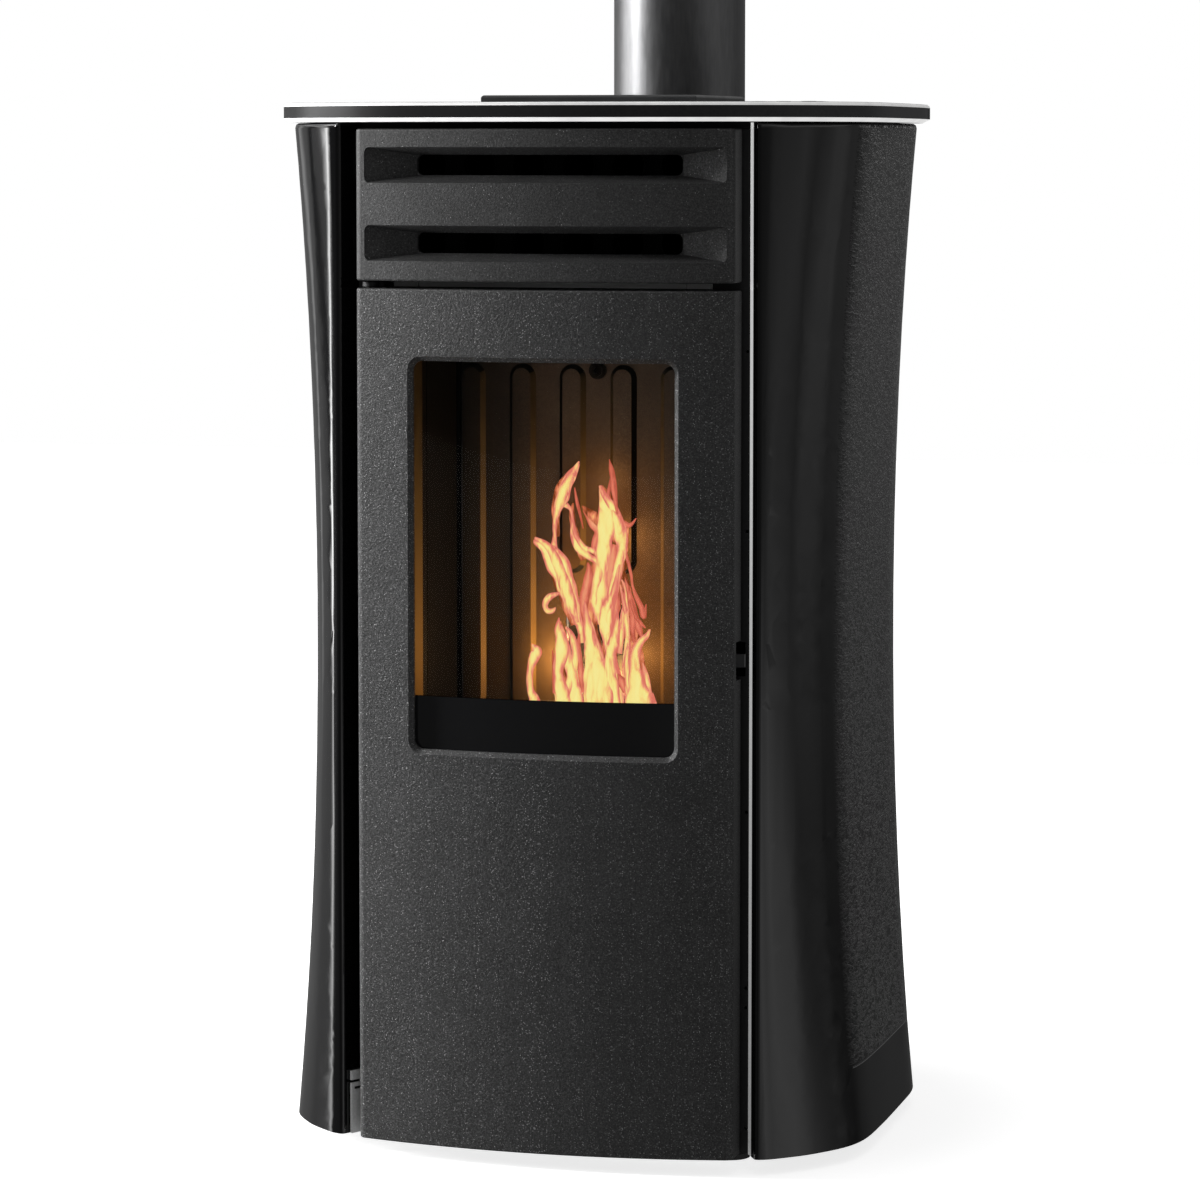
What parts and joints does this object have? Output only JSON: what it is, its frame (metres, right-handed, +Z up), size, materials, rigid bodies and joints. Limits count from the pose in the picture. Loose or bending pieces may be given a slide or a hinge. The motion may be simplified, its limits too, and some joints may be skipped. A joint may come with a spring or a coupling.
{
  "type": "pellet stove",
  "caption": "Free-standing pellet stove: bowed glazed door under a slotted warm-air grille, waisted gloss-black side panels, thick top with hopper lid, rear flue pipe.",
  "frame": {"origin": "on the floor, centred under the whole stove's bounding box", "axes": "+Z up, the door faces -Y, +X to the right of someone facing the door; the door's hinge is at -X"},
  "size_m": [0.5864, 0.603, 1.24],
  "materials": {
    "cast_black": "textured heat-resistant paint on cast iron, satin",
    "glazed_black": "black glazed ceramic, high gloss, opaque",
    "top_black": "black glazed ceramic slab, satin-gloss, opaque",
    "frame_black": "matt heat-resistant paint on sheet steel",
    "lid_black": "satin paint on sheet steel",
    "flue_black": "enamelled steel pipe, satin",
    "bare_steel": "bare sheet steel",
    "galvanised": "zinc-coated sheet steel",
    "zinc_bracket": "zinc-plated steel",
    "vermiculite": "pressed vermiculite board, matt, lightly sooted",
    "pot_iron": "bare cast iron, sooted",
    "glass_clear": "heat-resistant ceramic glass with an opaque black band",
    "rope_grey": "woven glass-fibre rope, pressed flat on one side",
    "seal_black": "silicone foam seal",
    "foot_rubber": "moulded rubber pad with a steel stud",
    "motor_grey": "die-cast motor body",
    "panel_gloss": "black moulded plastic, gloss",
    "button_grey": "soft-touch plastic",
    "plug_black": "moulded plastic",
    "board_green": "glass-epoxy circuit board with parts"
  },
  "bodies": {
    "stove": {"base_plate": "galvanised", "levelling_feet": "foot_rubber", "left_frame_side": "galvanised", "right_frame_side": "galvanised", "front_frame": "frame_black", "lower_hinge_bracket": "zinc_bracket", "upper_hinge_bracket": "frame_black", "door_hinge_pins": "bare_steel", "firebox_shell": "frame_black", "exchanger_tubes": "frame_black", "back_liner": "vermiculite", "liner_bolt": "bare_steel", "left_liner": "vermiculite", "right_liner": "vermiculite", "baffle": "vermiculite", "burn_pot_shelf": "pot_iron", "igniter": "bare_steel", "pellet_chute": "bare_steel", "auger_tube": "bare_steel", "auger_gearmotor": "motor_grey", "hopper": "galvanised", "smoke_fan_housing": "motor_grey", "smoke_fan_motor": "motor_grey", "smoke_duct": "bare_steel", "flue_tee": "flue_black", "flue_pipe": "flue_black", "room_fan_housing": "galvanised", "room_fan_motor": "motor_grey", "air_inlet_pipe": "bare_steel", "rear_panel": "frame_black", "rear_panel_screws": "zinc_bracket", "power_inlet": "plug_black", "thermostat_reset": "plug_black", "control_board": "board_green", "left_ceramic_panel": "glazed_black", "right_ceramic_panel": "glazed_black", "ceramic_brackets": "zinc_bracket", "upper_grille": "cast_black", "top_deck": "galvanised", "top_plate": "top_black", "lid_hinge_leaf": "zinc_bracket", "control_panel": "panel_gloss"},
    "door": {"door_panel": "cast_black", "door_glass": "glass_clear", "door_inner_frame": "frame_black", "door_gasket": "rope_grey", "latch_bracket": "zinc_bracket"},
    "latch": {"latch_lever": "frame_black"},
    "lid": {"hopper_lid": "lid_black", "lid_seal": "seal_black"},
    "drawer": {"ash_drawer": "frame_black", "ash_drawer_handle": "bare_steel"},
    "pot": {"burn_pot": "pot_iron"},
    "auger": {"auger_screw": "bare_steel"},
    "smoke_impeller": {"smoke_fan_impeller": "bare_steel"},
    "room_rotor": {"room_fan_rotor": "motor_grey"},
    "switch": {"power_switch": "plug_black"},
    "minus_key": {"minus_button": "button_grey"},
    "power_key": {"power_button": "button_grey"},
    "plus_key": {"plus_button": "button_grey"}
  },
  "joints": [
    {"name": "door_hinge", "type": "hinge", "parent": "stove", "child": "door", "pos_m": [-0.172, -0.2555, 0.4], "axis": [0, 0, -1], "range_deg": [0, 105]},
    {"name": "latch_pivot", "type": "hinge", "parent": "door", "child": "latch", "pos_m": [0.174, -0.2535, 0.48], "axis": [0, 0, -1], "range_deg": [0, 18]},
    {"name": "lid_hinge", "type": "hinge", "parent": "stove", "child": "lid", "pos_m": [0, 0.08, 1.0005], "axis": [-1, 0, 0], "range_deg": [0, 100]},
    {"name": "ash_drawer_slide", "type": "slide", "parent": "stove", "child": "drawer", "axis": [0, -1, 0], "range_m": [0, 0.12]},
    {"name": "burn_pot_lift", "type": "slide", "parent": "stove", "child": "pot", "axis": [0, 0, 1], "range_m": [0, 0.04]},
    {"name": "auger_turn", "type": "hinge", "parent": "stove", "child": "auger", "pos_m": [0, 0.0685, 0.345], "axis": [0, -0.393, 0.9195], "continuous": true},
    {"name": "smoke_fan_turn", "type": "hinge", "parent": "stove", "child": "smoke_impeller", "pos_m": [0, 0.0285, 0.19], "axis": [1, 0, 0], "continuous": true},
    {"name": "room_fan_turn", "type": "hinge", "parent": "stove", "child": "room_rotor", "pos_m": [0, -0.1595, 0.098], "axis": [1, 0, 0], "continuous": true},
    {"name": "power_switch_rock", "type": "hinge", "parent": "stove", "child": "switch", "pos_m": [-0.117, 0.1385, 0.077], "axis": [1, 0, 0], "range_deg": [0, 16]},
    {"name": "minus_key_press", "type": "slide", "parent": "stove", "child": "minus_key", "axis": [0, 0, -1], "range_m": [0, 0.0012], "stiffness_N_per_m": 600, "springref_m": -0.0005},
    {"name": "power_key_press", "type": "slide", "parent": "stove", "child": "power_key", "axis": [0, 0, -1], "range_m": [0, 0.0012], "stiffness_N_per_m": 600, "springref_m": -0.0005},
    {"name": "plus_key_press", "type": "slide", "parent": "stove", "child": "plus_key", "axis": [0, 0, -1], "range_m": [0, 0.0012], "stiffness_N_per_m": 600, "springref_m": -0.0005}
  ],
  "couplings": [
    {"joint": "ash_drawer_slide", "follows": "door_hinge", "m_per_rad": 0.065}
  ]
}
